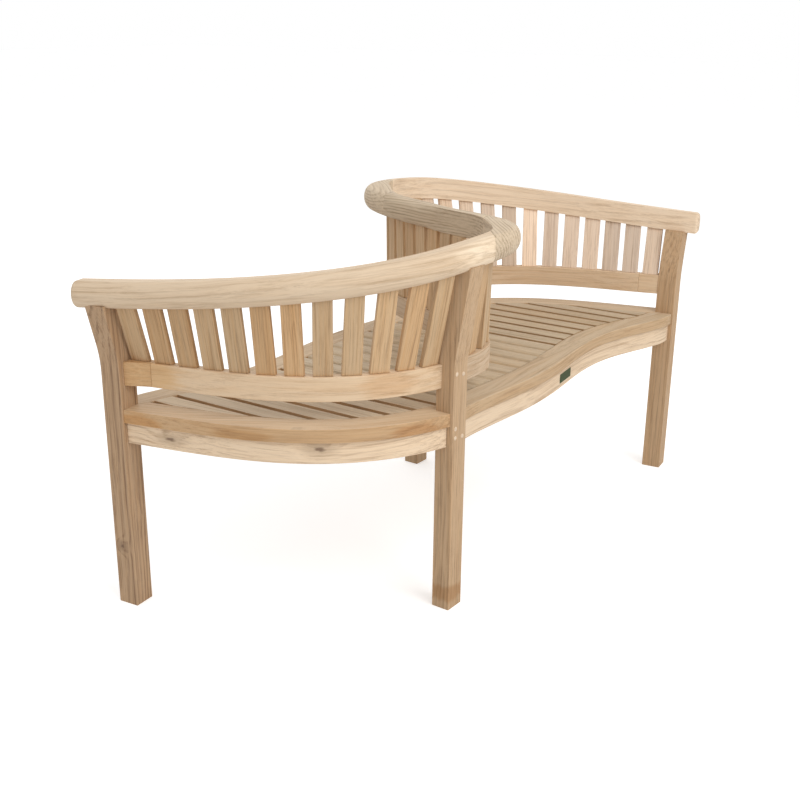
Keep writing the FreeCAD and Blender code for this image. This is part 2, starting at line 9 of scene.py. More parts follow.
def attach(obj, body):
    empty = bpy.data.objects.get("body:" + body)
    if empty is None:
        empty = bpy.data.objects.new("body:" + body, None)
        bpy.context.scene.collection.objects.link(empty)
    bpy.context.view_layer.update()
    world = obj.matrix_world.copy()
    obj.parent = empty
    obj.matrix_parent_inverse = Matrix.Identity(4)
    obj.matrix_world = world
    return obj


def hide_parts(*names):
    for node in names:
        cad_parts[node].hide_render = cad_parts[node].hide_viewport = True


# A teak companion seat on a pale studio floor. Everything is in metres, in the frame of the solids.

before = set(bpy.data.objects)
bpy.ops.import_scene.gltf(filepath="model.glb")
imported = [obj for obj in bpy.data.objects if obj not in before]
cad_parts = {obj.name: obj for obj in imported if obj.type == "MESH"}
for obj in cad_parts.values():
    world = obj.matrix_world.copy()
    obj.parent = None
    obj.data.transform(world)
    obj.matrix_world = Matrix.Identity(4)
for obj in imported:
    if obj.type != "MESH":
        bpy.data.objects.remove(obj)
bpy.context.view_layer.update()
SCENE = bpy.context.scene
BODY = "root"
UP = Vector((0, 0, 1))


# Node trees

class Net:
    """A node tree with short ways to add nodes. A value is a number, a tuple or another node's output."""

    def __init__(self, tree):
        self.tree = tree

    def feed(self, socket, value):
        if isinstance(value, bpy.types.NodeSocket):
            self.tree.links.new(value, socket)
        elif value is not None:
            socket.default_value = value

    def node(self, kind, inputs=(), **settings):
        made = self.tree.nodes.new(kind)
        for name, value in settings.items():
            setattr(made, name, value)
        for key, value in dict(inputs).items():
            self.feed(made.inputs[key], value)
        return made

    def math(self, operation, *values, clamp=False):
        return self.node("ShaderNodeMath", enumerate(values), operation=operation, use_clamp=clamp).outputs[0]

    def times(self, first, second):
        return self.math("MULTIPLY", first, second)

    def plus(self, first, second, clamp=False):
        return self.math("ADD", first, second, clamp=clamp)

    def minus(self, first, second):
        return self.math("SUBTRACT", first, second)

    def around(self, value, middle, by):
        """How far a value lies from its middle, times a factor."""
        return self.times(self.minus(value, middle), by)

    def combined(self, operation, values):
        """All values taken together by one operation, or None where there are none."""
        total = None
        for value in values:
            total = value if total is None else self.math(operation, total, value)
        return total

    def vector(self, operation, *values, scale=None):
        made = self.node("ShaderNodeVectorMath", enumerate(values), operation=operation)
        if scale is not None:
            self.feed(made.inputs["Scale"], scale)
        return made.outputs["Value" if operation in ("LENGTH", "DOT_PRODUCT") else "Vector"]

    def noise(self, place, along, across=None, detail=2.0, roughness=0.5, output="Fac"):
        """Noise with so many waves a metre along X and across it, or the same number every way."""
        scale = along
        if across is not None:
            place, scale = self.vector("MULTIPLY", place, (along, across, across)), 1.0
        inputs = {"Vector": place, "Scale": scale, "Detail": detail, "Roughness": roughness}
        return self.node("ShaderNodeTexNoise", inputs).outputs[output]

    def remap(self, value, low, high, to_low=0.0, to_high=1.0, smooth=False):
        inputs = {"Value": value, "From Min": low, "From Max": high, "To Min": to_low, "To Max": to_high}
        kind = "SMOOTHSTEP" if smooth else "LINEAR"
        return self.node("ShaderNodeMapRange", inputs, clamp=True, interpolation_type=kind).outputs["Result"]

    def fade(self, value, near, far, strength=1.0):
        """A soft fall from the given strength at near to nothing at far."""
        return self.remap(value, near, far, strength, 0.0, smooth=True)

    def mix(self, factor, first, second, blend="MIX"):
        """Two colours mixed. A colour is a tuple of three numbers or another node's output."""
        first, second = ((*value, 1.0) if isinstance(value, tuple) else value for value in (first, second))
        made = self.node("ShaderNodeMix", {0: factor, 6: first, 7: second}, data_type="RGBA", blend_type=blend)
        return made.outputs[2]

    def tint(self, factor, colour, by):
        return self.mix(factor, colour, by, "MULTIPLY")

    def group(self, tree, **values):
        """The outputs of a shader group. The name of a value is its socket's, with _ for a space."""
        inputs = {name.replace("_", " "): value for name, value in values.items()}
        return self.node("ShaderNodeGroup", inputs, node_tree=tree).outputs

    def attribute(self, name, output):
        return self.node("ShaderNodeAttribute", attribute_name=name).outputs[output]

    def carried(self, name, kind="FLOAT_VECTOR"):
        """What each point carries under a name, in a geometry tree."""
        return self.node("GeometryNodeInputNamedAttribute", {"Name": name}, data_type=kind).outputs["Attribute"]

    def through(self, kind, geometry, **inputs):
        """A geometry sent through a node."""
        return self.node("GeometryNode" + kind, {"Geometry": geometry, **inputs}).outputs["Geometry"]

    def relief(self, shader, height, strength, distance):
        bump = self.node("ShaderNodeBump", {"Height": height, "Strength": strength, "Distance": distance})
        self.feed(shader["Normal"], bump.outputs["Normal"])

    def returning(self, **results):
        """Ends a group with its results, and gives back its tree."""
        self.node("NodeGroupOutput", results)
        return self.tree


def new_group(family, name, inputs, outputs):
    """The net of an empty group, and what it is given. Inputs are (name, kind) or (name, kind, default)."""
    tree = bpy.data.node_groups.new(name, family + "NodeTree")
    for label, kind, *default in inputs:
        socket = tree.interface.new_socket(name=label, in_out="INPUT", socket_type="NodeSocket" + kind)
        if default:
            socket.default_value = default[0]
    for label in outputs:
        kind = "Float" if family == "Shader" else "Geometry"
        tree.interface.new_socket(name=label, in_out="OUTPUT", socket_type="NodeSocket" + kind)
    net = Net(tree)
    return net, net.node("NodeGroupInput").outputs


def new_material(name):
    """A material, its net, and the inputs of its shader."""
    material = bpy.data.materials.new(name)
    material.use_nodes = True
    return material, Net(material.node_tree), material.node_tree.nodes["Principled BSDF"].inputs


# Shared effects

def figure_group():
    """Growth rings, fibre and pores of a board sawn from a log. The log's pith runs along X of the grain space."""
    net, given = new_group(
        "Shader", "teak_figure",
        (("Grain", "Vector"), ("Ring width", "Float"), ("Wander", "Float"), ("Swirl", "Float")),
        ("Rings", "Fibre", "Pores", "Streak", "Cloud"))
    grain = given["Grain"]
    wander = net.vector("SUBTRACT", net.noise(grain, 2.2, 9.0, 2.0, 0.45, output="Color"), (0.5, 0.5, 0.5))
    bent = net.vector("ADD", grain, net.vector("SCALE", wander, scale=given["Wander"]))
    across = net.vector("MULTIPLY", bent, (0.0, 1.0, 1.0))
    radius = net.plus(net.vector("LENGTH", across), given["Swirl"])
    unevenness = net.times(net.noise(grain, 1.0, 14.0, 1.0), 1.6)
    turns = net.plus(net.math("DIVIDE", radius, given["Ring width"]), unevenness)

    # A ring darkens over the first 12% of its width and fades between 16 and 62%. Some years are darker.
    phase = net.math("FRACT", turns)
    ring = net.times(net.remap(phase, 0.0, 0.12, smooth=True), net.fade(phase, 0.16, 0.62))
    year = net.remap(net.noise(bent, 1.5, 60.0, 1.0), 0.32, 0.68, 0.15, 1.0)
    rings = net.times(ring, year)

    # Pores are short fine dashes, and most of them lie in the rings.
    pores = net.remap(net.noise(bent, 34.0, 1300.0, 1.0), 0.60, 0.70)
    return net.returning(
        Rings=rings,
        Fibre=net.remap(net.noise(bent, 6.0, 340.0, 4.0, 0.75), 0.38, 0.62),
        Pores=net.times(pores, net.remap(rings, 0.0, 1.0, 0.35, 1.0)),
        Streak=net.remap(net.noise(bent, 2.6, 160.0), 0.35, 0.68),
        Cloud=net.noise(grain, 3.2, 16.0, 3.0, 0.55))


def knot_group():
    """A knot: its dark core, the halo round it, and how far it pushes the rings apart."""
    net, given = new_group(
        "Shader", "knot",
        (("Place", "Vector"), ("Centre", "Vector"), ("Stretch", "Vector"), ("Size", "Float")),
        ("Core", "Halo", "Swirl"))
    away = net.vector("MULTIPLY", net.vector("SUBTRACT", given["Place"], given["Centre"]), given["Stretch"])
    distance = net.math("DIVIDE", net.vector("LENGTH", away), given["Size"])
    distance = net.plus(distance, net.around(net.noise(away, 160.0), 0.5, 0.9))
    push = net.math("POWER", net.fade(distance, 0.0, 7.0), 2.0)
    return net.returning(
        Core=net.fade(distance, 0.35, 1.0),
        Halo=net.fade(distance, 0.8, 3.6),
        Swirl=net.times(push, net.times(given["Size"], 2.6)))


def edge_group():
    """Where a sanded edge is: 1 on the eased corner, 0 on the faces."""
    net, given = new_group("Shader", "sanded_edge", (("Reach", "Float", 0.003), ("Grain", "Vector")), ("Edge",))
    rounded = net.node("ShaderNodeBevel", {"Radius": given["Reach"]}, samples=4).outputs["Normal"]
    flat = net.node("ShaderNodeNewGeometry").outputs["True Normal"]
    turned = net.remap(net.vector("DOT_PRODUCT", rounded, flat), 0.985, 0.80)
    rubbed = net.remap(net.noise(given["Grain"], 30.0, 60.0), 0.3, 0.6)
    return net.returning(Edge=net.times(turned, rubbed))


def end_grain_group():
    """Where the surface cuts across the fibres, and the fine open pores that show there."""
    net, given = new_group("Shader", "end_grain", (("Axis", "Vector"), ("Grain", "Vector")), ("Across", "Dots"))
    normal = net.node("ShaderNodeNewGeometry").outputs["Normal"]
    facing = net.math("ABSOLUTE", net.vector("DOT_PRODUCT", normal, given["Axis"]))
    across = net.remap(facing, 0.35, 0.92, smooth=True)
    dots = net.remap(net.noise(given["Grain"], 1500.0, detail=1.0), 0.52, 0.66)
    return net.returning(Across=across, Dots=net.times(across, dots))


FIGURE = figure_group()
KNOT = knot_group()
EDGE = edge_group()
END_GRAIN = end_grain_group()
WHITE = (1.0, 1.0, 1.0)
HONEY = (0.98, 0.80, 0.56)
WARM = (1.0, 0.80, 0.56)
COOL = (0.90, 0.93, 1.0)
RUBBED_EDGE = (1.16, 1.14, 1.10)
KNOT_HEART = (0.17, 0.10, 0.06)
ROUGHNESS = 0.68
ROUGHNESS_SWING = 0.07


def teak(name, pale, dark, ring_width, wander, rings, fibre, streak=0.3, cloud=0.5, honey=0.25, painted_side_shade=None, knots=(),
         patches=()):
    """A teak finish. Colours are linear, pale for the wood between rings and dark for the rings.

    Rings, fibre, streak and cloud are how much each of them darkens the wood. Honey is how far the streaks turn
    to the heartwood's orange. Painted side shade is what upright faces are multiplied by: painted shade that
    darkens the sides of the boards, and with them the gaps between seat slats.

    Knots are (centre, size, stretch) and patches (centre, reach, colour, strength), both placed on the object.
    """
    material, net, shader = new_material("teak_" + name)
    grain, axis = (net.attribute(label, "Vector") for label in ("grain", "axis"))
    tone, warmth = (net.attribute(label, "Fac") for label in ("tone", "warmth"))
    place = net.node("ShaderNodeTexCoord").outputs["Object"]
    spots = [
        net.group(KNOT, Place=place, Centre=centre, Stretch=stretch, Size=size) for centre, size, stretch in knots]
    swirl, core, halo = (
        net.combined(operation, [spot[part] for spot in spots])
        for operation, part in (("ADD", "Swirl"), ("MAXIMUM", "Core"), ("MAXIMUM", "Halo")))
    figure = net.group(FIGURE, Grain=grain, Ring_width=ring_width, Wander=wander, Swirl=swirl)
    edge = net.group(EDGE, Grain=grain)["Edge"]
    ends = net.group(END_GRAIN, Axis=axis, Grain=grain)

    shade = net.times(figure["Rings"], rings)
    for mark, middle, weight in (("Fibre", 0.5, fibre), ("Streak", 0.4, streak), ("Cloud", 0.45, cloud)):
        shade = net.plus(shade, net.around(figure[mark], middle, weight))
    shade = net.plus(shade, net.times(ends["Across"], 0.25), clamp=True)
    colour = net.mix(shade, pale, dark)
    golden = net.times(figure["Streak"], figure["Cloud"])
    colour = net.tint(net.times(golden, honey * 2), colour, HONEY)
    colour = net.tint(net.remap(warmth, 0.0, 1.0, 0.0, 0.8), colour, WARM)
    colour = net.tint(net.remap(warmth, 0.0, -1.0, 0.0, 0.8), colour, COOL)
    # Painted shade: upright faces are darkened, so the gaps between seat slats look deep in shadow.
    if painted_side_shade:
        normal = net.node("ShaderNodeNewGeometry").outputs["Normal"]
        facing = net.node("ShaderNodeSeparateXYZ", {0: normal}).outputs["Z"]
        colour = net.tint(net.remap(net.math("ABSOLUTE", facing), 0.35, 0.75, 1.0, 0.0), colour, painted_side_shade)
    # Each patch multiplies the colour. Most are stains; the one with a colour above 1 is a painted highlight.
    for centre, reach, stain, strength in patches:
        away = net.vector("DIVIDE", net.vector("SUBTRACT", place, centre), reach)
        ragged = net.around(net.noise(grain, 9.0, 90.0, 3.0), 0.5, 1.1)
        distance = net.plus(net.vector("LENGTH", away), ragged)
        colour = net.tint(net.fade(distance, 0.55, 1.1, strength), colour, stain)
    colour = net.tint(1.0, colour, net.mix(edge, WHITE, RUBBED_EDGE))
    marks = net.plus(net.times(figure["Pores"], 0.30), net.times(ends["Dots"], 0.25), clamp=True)
    colour = net.mix(marks, colour, tuple(value * 0.35 for value in dark))
    if spots:
        colour = net.mix(net.times(halo, 0.45), colour, tuple(value * 0.8 for value in dark))
        colour = net.mix(net.times(core, 0.8), colour, KNOT_HEART)
    gain = net.node("ShaderNodeCombineColor", {channel: tone for channel in ("Red", "Green", "Blue")})
    net.feed(shader["Base Color"], net.tint(1.0, colour, gain.outputs[0]))

    rough = net.remap(shade, 0.0, 1.0, ROUGHNESS - ROUGHNESS_SWING, ROUGHNESS + ROUGHNESS_SWING)
    net.feed(shader["Roughness"], net.minus(rough, net.times(edge, 0.08)))
    height = net.minus(net.times(figure["Fibre"], 0.5), net.times(figure["Rings"], 0.35))
    net.relief(shader, net.minus(height, net.times(marks, 0.9)), strength=0.45, distance=0.0004)
    shader["Specular IOR Level"].default_value = 0.35
    return material


KNOT_ON_LEG = ((-0.717, 0.312, 0.135), 0.0060, (1.0, 1.0, 1.0))
KNOTS_ON_APRON = (
    ((-0.681, 0.186, 0.394), 0.0075, (0.8, 0.45, 1.4)),
    ((-0.568, -0.104, 0.402), 0.0085, (0.7, 0.50, 1.3)))

# Patches of another colour: centre, reach, the colour that the wood is multiplied by, and strength.
HEARTWOOD_ON_LOW_RAIL = (
    ((-0.700, 0.255, 0.520), (0.07, 0.12, 0.07), (0.90, 0.76, 0.55), 0.8),
    ((-0.460, -0.190, 0.520), (0.07, 0.06, 0.03), (0.90, 0.80, 0.70), 0.8))
HEARTWOOD_ON_RIM = (
    ((-0.700, 0.250, 0.424), (0.05, 0.07, 0.020), (0.90, 0.72, 0.50), 0.8),
    ((-0.640, 0.030, 0.424), (0.05, 0.07, 0.020), (0.85, 0.72, 0.54), 0.7),
    ((-0.430, -0.245, 0.424), (0.08, 0.05, 0.020), (0.82, 0.67, 0.52), 0.8))
# A painted highlight: a pale patch on the near arc beside its bend, brighter than the wood itself.
PAINTED_HIGHLIGHT_ON_ARC = ((-0.310, -0.330, 0.765), (0.10, 0.06, 0.05), (1.22, 1.28, 1.34), 0.9)
DAMP_FOOT = ((-0.324, -0.252, 0.036), (0.08, 0.08, 0.022), (0.80, 0.66, 0.50), 0.85)

LEG = teak(
    "leg", (0.550, 0.378, 0.228), (0.285, 0.180, 0.102), 0.0075, 0.022, rings=0.30, fibre=0.9, streak=0.2,
    cloud=0.45, patches=(DAMP_FOOT,))
LEG_WITH_KNOT = teak(
    "leg_with_knot", (0.515, 0.350, 0.215), (0.240, 0.145, 0.085), 0.0085, 0.034, rings=0.80, fibre=0.80,
    streak=0.35, cloud=0.5, knots=(KNOT_ON_LEG,))
ARC_RAIL = teak(
    "arc_rail", (0.730, 0.575, 0.412), (0.500, 0.365, 0.238), 0.0125, 0.045, rings=0.52, fibre=0.7,
    streak=0.3, cloud=0.9, honey=0.15, patches=(PAINTED_HIGHLIGHT_ON_ARC,))
BEND_RAIL = teak(
    "bend_rail", (0.690, 0.550, 0.388), (0.410, 0.300, 0.195), 0.0070, 0.034, rings=0.80, fibre=0.6,
    streak=0.3, cloud=0.7, honey=0.08)
LOW_RAIL = teak(
    "low_rail", (0.740, 0.555, 0.372), (0.500, 0.340, 0.205), 0.0100, 0.030, rings=0.35, fibre=0.6,
    streak=0.3, cloud=0.6, patches=HEARTWOOD_ON_LOW_RAIL)
APRON = teak(
    "apron", (0.830, 0.655, 0.470), (0.490, 0.340, 0.215), 0.0110, 0.040, rings=0.55, fibre=0.8,
    streak=0.3, cloud=0.6, honey=0.15, knots=KNOTS_ON_APRON)
# The rim's upright faces carry painted shade.
RIM = teak(
    "rim", (0.630, 0.483, 0.323), (0.415, 0.295, 0.185), 0.0080, 0.022, rings=0.35, fibre=0.8,
    streak=0.35, cloud=0.6, painted_side_shade=(0.93, 0.84, 0.74), patches=HEARTWOOD_ON_RIM)
SLAT = teak(
    "slat", (0.620, 0.436, 0.258), (0.325, 0.204, 0.113), 0.0065, 0.018, rings=0.2, fibre=1.0, streak=0.25,
    cloud=0.4, honey=0.4)
PALE_SLAT = teak(
    "pale_slat", (0.790, 0.620, 0.470), (0.480, 0.345, 0.245), 0.0065, 0.018, rings=0.25, fibre=1.05,
    streak=0.3, cloud=0.4, honey=0.15)
# The seat slats' upright faces carry painted shade, which darkens the gaps between them.
SEAT = teak(
    "seat_slat", (0.650, 0.508, 0.340), (0.405, 0.297, 0.188), 0.0070, 0.016, rings=0.3, fibre=0.8,
    streak=0.4, cloud=0.5, honey=0.1, painted_side_shade=(0.86, 0.72, 0.58))
PEG = teak("peg", (0.74, 0.60, 0.45), (0.54, 0.41, 0.29), 0.002, 0.004, rings=0.3, fibre=0.3)


# Grain of the pieces

def longest_way(points):
    """The direction in which a set of points reaches furthest, by repeated averaging of their spread."""
    centre = sum(points, Vector()) / len(points)
    way = max((point - centre for point in points), key=lambda offset: offset.length).normalized()
    for _ in range(24):
        total = Vector()
        for point in points:
            offset = point - centre
            total += offset * offset.dot(way)
        way = total.normalized()
    return centre, way


LOG_REACH = 20
BEND_DEGREE = 5


def lie_in_log(rng, away, aside):
    """How a piece lies in its log: its turn about the fibres, and its place along and beside the pith."""
    angle = rng.uniform(0, 2 * math.pi)
    return angle, Vector((rng.uniform(-LOG_REACH, LOG_REACH), rng.uniform(*away), rng.uniform(-aside, aside)))


def grain_frame(points, rng, way=None, follow=0.0):
    """A piece's own grain space: X along the fibres, and the pith somewhere beside the piece.

    Follow is the share of the board's own bend that the fibres keep to.
    """
    centre, longest = longest_way(points)
    way = (way or longest).normalized()
    side = UP.cross(way)
    if side.length < 0.3:
        side = Vector((1, 0, 0)).cross(way)
    side.normalize()
    up = way.cross(side)
    angle, pith = lie_in_log(rng, (0.035, 0.10), 0.03)
    turn = Matrix.Rotation(-angle, 3, "X")
    bend = (0.0,)
    if follow:
        offsets = [point - centre for point in points]
        along_and_aside = ([offset.dot(axis) for offset in offsets] for axis in (way, side))
        bend = numpy.polyfit(*along_and_aside, BEND_DEGREE) * follow

    def place(point):
        offset = point - centre
        along = offset.dot(way)
        return turn @ Vector((along, offset.dot(side) - float(numpy.polyval(bend, along)), offset.dot(up))) + pith

    return place, way


def islands(points, pairs):
    """The points of each separate solid, from the pairs of indices that the edges join."""
    parent = list(range(len(points)))

    def root(index):
        while parent[index] != index:
            parent[index] = parent[parent[index]]
            index = parent[index]
        return index

    for first, second in pairs:
        parent[root(second)] = root(first)
    groups = {}
    for index, point in enumerate(points):
        groups.setdefault(root(index), []).append(point)
    return list(groups.values())


def drawn(values, rng, number):
    """A solid's value: the same for all, drawn between two ends, or the one at the solid's number."""
    if isinstance(values, float):
        values = (values, values)
    return rng.uniform(*values) if len(values) == 2 else values[number]


def give_grain(mesh, seed, tones, warmths, way=None, follow=0.0):
    """Writes each solid's grain space, fibre direction, tone and warmth on its points.

    Tones and warmths are one number, the ends of a range, or one value for each solid in their order along X.
    """
    for name, kind in (("grain", "FLOAT_VECTOR"), ("axis", "FLOAT_VECTOR"), ("tone", "FLOAT"), ("warmth", "FLOAT")):
        mesh.attributes.new(name, kind, "POINT")
    solids = islands(mesh.vertices, (edge.vertices for edge in mesh.edges))
    solids.sort(key=lambda solid: sum(corner.co.x for corner in solid) / len(solid))
    for number, solid in enumerate(solids):
        rng = random.Random(seed * 101 + number)
        place, fibre = grain_frame([corner.co for corner in solid], rng, way, follow)
        tone = drawn(tones, rng, number)
        warmth = drawn(warmths, rng, number)
        for corner in solid:
            mesh.attributes["grain"].data[corner.index].vector = place(corner.co)
            mesh.attributes["axis"].data[corner.index].vector = fibre
            mesh.attributes["tone"].data[corner.index].value = tone
            mesh.attributes["warmth"].data[corner.index].value = warmth


# Dressed copies of the solids, with their edges eased

SAME_POINT = 0.00002
SAME_CORNER = 0.00001
PLANED = 0.003


def eased(shape, ease, segments=2, corner=40, shortest=0.0022):
    """Bevels the hard edges of a shape by a sanded radius."""
    hard = [
        edge for edge in shape.edges
        if len(edge.link_faces) == 2 and edge.calc_face_angle(0) > math.radians(corner)
        and edge.calc_length() > shortest]
    bmesh.ops.bevel(
        shape, geom=hard, offset=ease, offset_type="OFFSET", segments=segments, profile=0.5,
        affect="EDGES", clamp_overlap=True, loop_slide=True)


def finished(shape, name, material):
    """A piece from a shape, at the origin. Its broad faces look flat, and only the eased edges look round."""
    bmesh.ops.remove_doubles(shape, verts=shape.verts, dist=SAME_POINT)
    for face in shape.faces:
        face.smooth = True
    mesh = bpy.data.meshes.new(name)
    shape.to_mesh(mesh)
    shape.free()
    mesh.materials.append(material)
    piece = bpy.data.objects.new(name, mesh)
    SCENE.collection.objects.link(piece)
    weighted = piece.modifiers.new("weighted", "WEIGHTED_NORMAL")
    weighted.keep_sharp = False
    weighted.weight = 100
    bake(piece)
    return piece


def bake(piece):
    """Replaces a piece's mesh by its evaluated one, and removes the modifiers."""
    graph = bpy.context.evaluated_depsgraph_get()
    made = bpy.data.meshes.new_from_object(
        piece.evaluated_get(graph), preserve_all_data_layers=True, depsgraph=graph)
    old = piece.data
    piece.modifiers.clear()
    piece.data = made
    bpy.data.meshes.remove(old)
    made.name = piece.name


def solid_shape(node):
    """A node's solids as a shape to edit, with their triangles joined at the corners."""
    shape = bmesh.new()
    shape.from_mesh(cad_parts[node].data)
    bmesh.ops.remove_doubles(shape, verts=shape.verts, dist=SAME_CORNER)
    return shape


def solids_in(shape):
    """The corners of each separate solid of a shape, in the same order each run."""
    shape.verts.index_update()
    return islands(shape.verts, ([end.index for end in edge.verts] for edge in shape.edges))


def planed(shape):
    """Takes a shaving off each long side of the separate boards of a shape."""
    for board in solids_in(shape):
        centre, along = longest_way([corner.co for corner in board])
        side = UP.cross(along).normalized()
        half = max(abs((corner.co - centre).dot(side)) for corner in board)
        for corner in board:
            corner.co -= side * ((corner.co - centre).dot(side) / half * PLANED)


def smooth(share):
    return share * share * (3 - 2 * share)


def skin(shape, rings):
    """Faces between the rings of a shape's corners, one after another, and over both ends."""
    count = len(rings[0])
    for lower, upper in zip(rings, rings[1:]):
        for index in range(count):
            following = (index + 1) % count
            shape.faces.new((lower[index], lower[following], upper[following], upper[index]))
    shape.faces.new(rings[0][::-1])
    shape.faces.new(rings[-1])


# Low rail: where the block beside an end leg begins and ends, inner and outer corner, for the near half
BLOCK_AT_LEG = (Vector((-0.6684, 0.2883)), Vector((-0.7026, 0.2850)))
BLOCK_AT_RAIL = (Vector((-0.6542, 0.2382)), Vector((-0.6786, 0.2327)))
RAIL_START = (Vector((-0.6497, 0.2187)), Vector((-0.6741, 0.2132)))
ALONG_BLOCK = Vector((0.223, -0.975, 0))
BLOCK_STEPS = 8
LOW_RAIL_LEVELS = (0.494, 0.544)


def reached_out(shape, side):
    """Carries a low rail's end on to its block. Side is 1 near, -1 far, and 0 at the crossing, with no block."""
    for corner in shape.verts:
        for start, goal in zip(RAIL_START, BLOCK_AT_RAIL):
            if (Vector(corner.co[:2]) * side - start).length < 0.002:
                corner.co.x, corner.co.y = goal * side


def shoulder_block(node, side, seed, **grain):
    """The low rail's block: as thick as the leg's tenon asks at one end, and flush with the rail at the other."""
    shape = bmesh.new()
    rows = []
    for step in range(BLOCK_STEPS + 1):
        share = step / BLOCK_STEPS
        inner = BLOCK_AT_LEG[0].lerp(BLOCK_AT_RAIL[0], share)
        thick = (BLOCK_AT_LEG[1] - BLOCK_AT_LEG[0]).lerp(BLOCK_AT_RAIL[1] - BLOCK_AT_RAIL[0], smooth(share))
        low, high = LOW_RAIL_LEVELS
        rows.append([
            shape.verts.new((point.x * side, point.y * side, level))
            for point, level in ((inner, low), (inner + thick, low), (inner + thick, high), (inner, high))])
    skin(shape, rows)
    bmesh.ops.recalc_face_normals(shape, faces=shape.faces[:])
    eased(shape, 0.0014)
    piece = finished(shape, "wood_" + node, LOW_RAIL)
    give_grain(piece.data, seed, way=ALONG_BLOCK, **grain)
    settle(piece, [node])


def dressed(node, material, slot, seed, ease=0.0018, shaping=None, **grain):
    """An eased copy of a solid that stands for it. Shaping changes the copy before its edges are eased."""
    shape = solid_shape(node)
    bmesh.ops.dissolve_limit(
        shape, angle_limit=math.radians(0.6), verts=shape.verts, edges=shape.edges, delimit=set())
    if shaping:
        shaping(shape)
    eased(shape, ease)
    piece = finished(shape, "wood_" + node, material)
    give_grain(piece.data, seed, **grain)
    settle(piece, [node])


def settle(piece, nodes):
    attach(piece, BODY)
    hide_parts(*nodes)


def dress_boards():
    """Legs, boards and seat slats: the solids themselves with sanded edges. Each row ends in tone and warmth."""
    for seed, (node, material, tone, warmth) in enumerate((
            ("near_end_leg", LEG_WITH_KNOT, 0.98, 0.1), ("near_middle_leg", LEG, 1.0, 0.0),
            ("far_end_leg", LEG, 1.0, 0.1), ("far_middle_leg", LEG, 1.0, 0.0)), 11):
        dressed(node, material, "legs", seed, way=UP, tones=tone, warmths=warmth)
    shoulder_block("near_low_rail_block", 1, 20, tones=0.92, warmths=0.15)
    shoulder_block("far_low_rail_block", -1, 24, tones=0.98, warmths=0.0)
    for seed, (node, side, tone, warmth) in enumerate((
            ("near_low_rail", 1, 1.0, 0.0), ("crossing_low_rail", 0, 0.88, -0.5),
            ("far_low_rail", -1, 1.0, -0.3)), 21):
        dressed(
            node, LOW_RAIL, "low_rail", seed, ease=0.0014, shaping=lambda shape: reached_out(shape, side),
            tones=tone, warmths=warmth, follow=0.85)
    for seed, (node, tone) in enumerate((
            ("left_seat_back_apron", 1.0), ("right_seat_front_apron", 0.93), ("right_seat_back_apron", 1.0),
            ("left_seat_front_apron", 1.0)), 30):
        dressed(node, APRON, "seat_frame", seed, tones=tone, warmths=0.1, follow=0.85)
    for seed, (node, tone, warmth) in enumerate((
            ("left_seat_back_rim", 1.0, 0.3), ("right_seat_front_rim", 0.93, 0.0), ("right_seat_back_rim", 1.0, 0.1),
            ("left_seat_front_rim", 1.0, 0.1)), 40):
        dressed(node, RIM, "seat_frame", seed, ease=0.003, tones=tone, warmths=warmth, follow=0.8)
    for seed, node in enumerate(("left_seat_bearer", "right_seat_bearer"), 50):
        dressed(node, RIM, "seat_frame", seed, tones=(0.9, 0.95), warmths=(-0.1, 0.2))
    for seed, (node, tones) in enumerate((
            ("left_seat_slats", (0.92, 1.08)), ("middle_seat_slats", (0.86, 0.98)),
            ("right_seat_slats", (0.84, 0.96))), 60):
        dressed(node, SEAT, "seat_slats", seed, ease=0.0035, shaping=planed, tones=tones, warmths=(-0.5, 0.2))


# Top rail: its section swept along its line. A share is how far along the line a place is, from 0 to 1.
# A joint is the x and y of a point on its cut, and the cut's angle seen from above.

RAIL_LINE = (
    (-0.745, 0.359, 0.681), (-0.709, 0.201, 0.692), (-0.664, 0.018, 0.710), (-0.562, -0.164, 0.734),
    (-0.433, -0.276, 0.757), (-0.286, -0.299, 0.770), (-0.110, -0.299, 0.771), (-0.026, -0.095, 0.764))
POLES = [Vector(point) for point in RAIL_LINE] + [Vector((0, 0, RAIL_LINE[-1][2]))] + [
    Vector((-x, -y, z)) for x, y, z in reversed(RAIL_LINE)]
RAIL_WIDTH = 0.038
RAIL_HEIGHT = 0.054
RAIL_ROUND = 0.018
END_ROUND = 0.010
BEND_SWELL = 0.027
BEND_SHARE = 0.3575
BEND_REACH = 0.062
CROSSING_REACH = 0.05
BEND_JOINT = (-0.257, -0.297, 43)
CROSSING_JOINT = (-0.074, -0.178, 13)
RAIL_FACETS = 14
END_STEPS = 6
LINE_STEPS = 240


def spline_point(share):
    """A point of the clamped cubic spline over the poles, by repeated mixing."""
    degree = 3
    spans = len(POLES) - degree
    knots = [0.0] * degree + [index / spans for index in range(spans + 1)] + [1.0] * degree
    span = min(int(share * spans), spans - 1) + degree
    mixed = [POLES[span - degree + index].copy() for index in range(degree + 1)]
    for level in range(1, degree + 1):
        for index in range(degree, level - 1, -1):
            low = knots[span - degree + index]
            high = knots[index + 1 + span - level]
            part = (share - low) / (high - low)
            mixed[index] = mixed[index - 1].lerp(mixed[index], part)
    return mixed[degree]


def swell(share, centre):
    away = abs(share - centre) / BEND_REACH
    return BEND_SWELL * math.cos(away * math.pi / 2) ** 2 if away < 1 else 0.0


